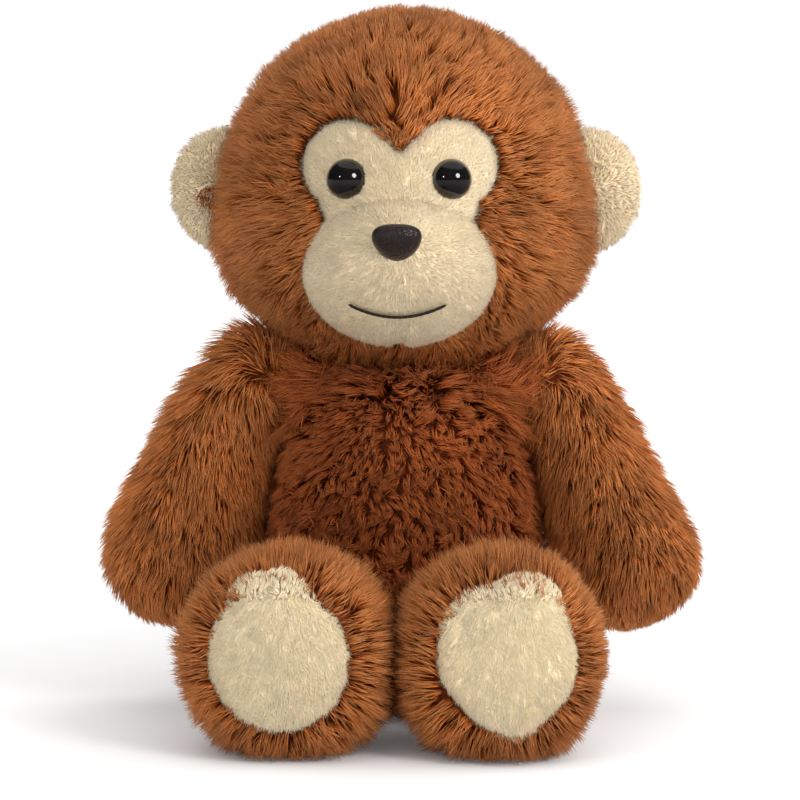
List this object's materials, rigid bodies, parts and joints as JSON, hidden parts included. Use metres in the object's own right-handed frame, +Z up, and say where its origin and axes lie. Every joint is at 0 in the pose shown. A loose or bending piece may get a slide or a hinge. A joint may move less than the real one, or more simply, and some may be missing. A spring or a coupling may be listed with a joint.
{
  "type": "stuffed monkey",
  "caption": "Seated plush monkey with a shaggy brown coat, beige face and soles, a head that turns and nods, and limbs, ears and tail that swing at their seams.",
  "frame": {"origin": "on the floor, at the middle of the flat seat under the neck", "axes": "+Z up, -Y the way the face looks, +X to the right of someone facing the toy"},
  "size_m": [0.236, 0.2374, 0.285],
  "materials": {
    "torso_plush": "wavy long pile",
    "coat_plush": "shaggy long pile",
    "face_plush": "short dense pile",
    "ear_plush": "short dense pile",
    "sole_plush": "short dense pile",
    "nose_grain": "grained, satin",
    "eye_gloss": "polished",
    "stitch_thread": "twisted thread",
    "washer_plastic": "moulded",
    "fibre_fill": "loose fibre",
    "pellet_fill": "loose pellets"
  },
  "bodies": {
    "torso": {"torso_shell": "torso_plush", "torso_stuffing": "fibre_fill", "seat_pellets": "pellet_fill"},
    "neck": {"neck_tube": "torso_plush", "neck_stuffing": "fibre_fill"},
    "head": {"head_shell": "coat_plush", "head_stuffing": "fibre_fill", "brow_mask": "face_plush", "muzzle_shell": "face_plush", "muzzle_stuffing": "fibre_fill", "nose": "nose_grain", "nose_washer": "washer_plastic", "mouth_stitch": "stitch_thread", "eye_left": "eye_gloss", "eye_right": "eye_gloss", "eye_washer_left": "washer_plastic", "eye_washer_right": "washer_plastic"},
    "tail": {"tail_shell": "coat_plush", "tail_stuffing": "fibre_fill"},
    "ear_left": {"ear_front_left": "ear_plush", "ear_back_left": "coat_plush"},
    "arm_left": {"arm_shell_left": "coat_plush", "arm_stuffing_left": "fibre_fill", "paw_pellets_left": "pellet_fill"},
    "leg_left": {"leg_shell_left": "coat_plush", "leg_stuffing_left": "fibre_fill", "foot_pellets_left": "pellet_fill", "foot_pad_left": "sole_plush"},
    "ear_right": {"ear_front_right": "ear_plush", "ear_back_right": "coat_plush"},
    "arm_right": {"arm_shell_right": "coat_plush", "arm_stuffing_right": "fibre_fill", "paw_pellets_right": "pellet_fill"},
    "leg_right": {"leg_shell_right": "coat_plush", "leg_stuffing_right": "fibre_fill", "foot_pellets_right": "pellet_fill", "foot_pad_right": "sole_plush"}
  },
  "joints": [
    {"name": "head_turn", "type": "hinge", "parent": "torso", "child": "neck", "pos_m": [0, 0, 0.146], "axis": [0, 0, 1], "range_deg": [-30, 30], "stiffness_Nm_per_rad": 0.3},
    {"name": "head_nod", "type": "hinge", "parent": "neck", "child": "head", "pos_m": [0, 0, 0.146], "axis": [-1, 0, 0], "range_deg": [-10, 15], "stiffness_Nm_per_rad": 1.2},
    {"name": "arm_swing_left", "type": "hinge", "parent": "torso", "child": "arm_left", "pos_m": [-0.06, -0.004, 0.141], "axis": [-1, 0, 0], "range_deg": [-25, 70]},
    {"name": "arm_swing_right", "type": "hinge", "parent": "torso", "child": "arm_right", "pos_m": [0.06, -0.004, 0.141], "axis": [-1, 0, 0], "range_deg": [-25, 70]},
    {"name": "leg_lift_left", "type": "hinge", "parent": "torso", "child": "leg_left", "pos_m": [-0.036, -0.052, 0.033], "axis": [-1, 0, 0], "range_deg": [-50, 30]},
    {"name": "leg_lift_right", "type": "hinge", "parent": "torso", "child": "leg_right", "pos_m": [0.036, -0.052, 0.033], "axis": [-1, 0, 0], "range_deg": [-50, 30]},
    {"name": "ear_fold_left", "type": "hinge", "parent": "head", "child": "ear_left", "pos_m": [-0.0785, 0, 0.213], "axis": [0, 0, 1], "range_deg": [-20, 20], "stiffness_Nm_per_rad": 0.02},
    {"name": "ear_fold_right", "type": "hinge", "parent": "head", "child": "ear_right", "pos_m": [0.0785, 0, 0.213], "axis": [0, 0, 1], "range_deg": [-20, 20], "stiffness_Nm_per_rad": 0.02},
    {"name": "tail_swing", "type": "hinge", "parent": "torso", "child": "tail", "pos_m": [0, 0.056, 0.009], "axis": [0, 0, 1], "range_deg": [-20, 20]}
  ]
}
